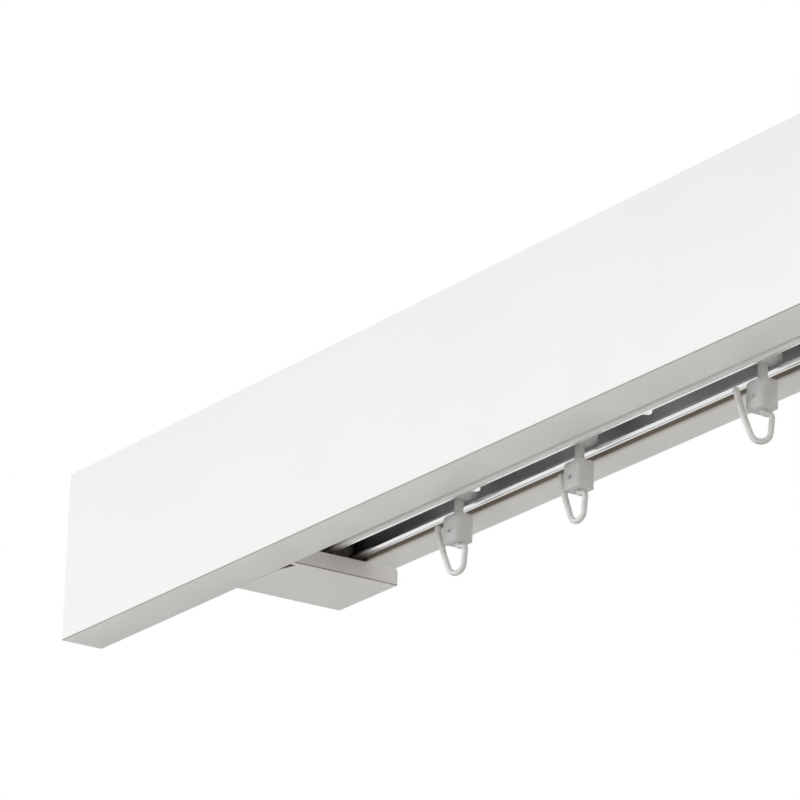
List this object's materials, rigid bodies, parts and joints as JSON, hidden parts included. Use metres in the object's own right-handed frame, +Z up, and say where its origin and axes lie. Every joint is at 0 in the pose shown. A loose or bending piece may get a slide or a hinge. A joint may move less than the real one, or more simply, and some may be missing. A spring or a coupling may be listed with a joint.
{
  "type": "curtain track",
  "caption": "Wall-hung curtain track: a slotted channel behind a plain lacquered fascia, with sliding gliders that carry swivelling open hooks.",
  "frame": {"origin": "on the wall face, half way along the rear board and half way up it", "axes": "+X along the track, +Y into the wall, +Z up"},
  "size_m": [0.8, 0.056, 0.0781],
  "materials": {
    "lacquered_board": "smooth white satin lacquer on fibreboard",
    "white_aluminium": "white coated extrusion",
    "translucent_plastic": "milky translucent moulded plastic",
    "plug_plastic": "white moulded plastic",
    "zinc_steel": "zinc plated steel"
  },
  "bodies": {
    "rail": {"fascia_board": "lacquered_board", "rear_board": "lacquered_board", "top_board": "lacquered_board", "c_track": "white_aluminium", "board_screws": "zinc_steel", "channel_screws": "zinc_steel", "hanger_screws": "zinc_steel", "bracket_arm_left": "lacquered_board", "end_cheek_left": "lacquered_board", "end_stop_left": "plug_plastic", "hanger_plate_left": "zinc_steel", "bracket_arm_right": "lacquered_board", "end_cheek_right": "lacquered_board", "end_stop_right": "plug_plastic", "hanger_plate_right": "zinc_steel"},
    "glider_1": {"glider_1": "translucent_plastic"},
    "hook_1": {"hook_1": "translucent_plastic"},
    "glider_2": {"glider_2": "translucent_plastic"},
    "hook_2": {"hook_2": "translucent_plastic"},
    "glider_3": {"glider_3": "translucent_plastic"},
    "hook_3": {"hook_3": "translucent_plastic"},
    "glider_4": {"glider_4": "translucent_plastic"},
    "hook_4": {"hook_4": "translucent_plastic"},
    "glider_5": {"glider_5": "translucent_plastic"},
    "hook_5": {"hook_5": "translucent_plastic"}
  },
  "joints": [
    {"name": "glide_1", "type": "slide", "parent": "rail", "child": "glider_1", "axis": [1, 0, 0], "range_m": [-0.065, 0.0545]},
    {"name": "swivel_1", "type": "hinge", "parent": "glider_1", "child": "hook_1", "pos_m": [-0.204, -0.0216, -0.03845], "axis": [0, 0, 1], "continuous": true},
    {"name": "glide_2", "type": "slide", "parent": "rail", "child": "glider_2", "axis": [1, 0, 0], "range_m": [-0.0545, 0.0835]},
    {"name": "swivel_2", "type": "hinge", "parent": "glider_2", "child": "hook_2", "pos_m": [-0.135, -0.0216, -0.03845], "axis": [0, 0, 1], "continuous": true},
    {"name": "glide_3", "type": "slide", "parent": "rail", "child": "glider_3", "axis": [1, 0, 0], "range_m": [-0.0835, 0.0835]},
    {"name": "swivel_3", "type": "hinge", "parent": "glider_3", "child": "hook_3", "pos_m": [-0.037, -0.0216, -0.03845], "axis": [0, 0, 1], "continuous": true},
    {"name": "glide_4", "type": "slide", "parent": "rail", "child": "glider_4", "axis": [1, 0, 0], "range_m": [-0.0835, 0.0835]},
    {"name": "swivel_4", "type": "hinge", "parent": "glider_4", "child": "hook_4", "pos_m": [0.061, -0.0216, -0.03845], "axis": [0, 0, 1], "continuous": true},
    {"name": "glide_5", "type": "slide", "parent": "rail", "child": "glider_5", "axis": [1, 0, 0], "range_m": [-0.0835, 0.11]},
    {"name": "swivel_5", "type": "hinge", "parent": "glider_5", "child": "hook_5", "pos_m": [0.159, -0.0216, -0.03845], "axis": [0, 0, 1], "continuous": true}
  ]
}
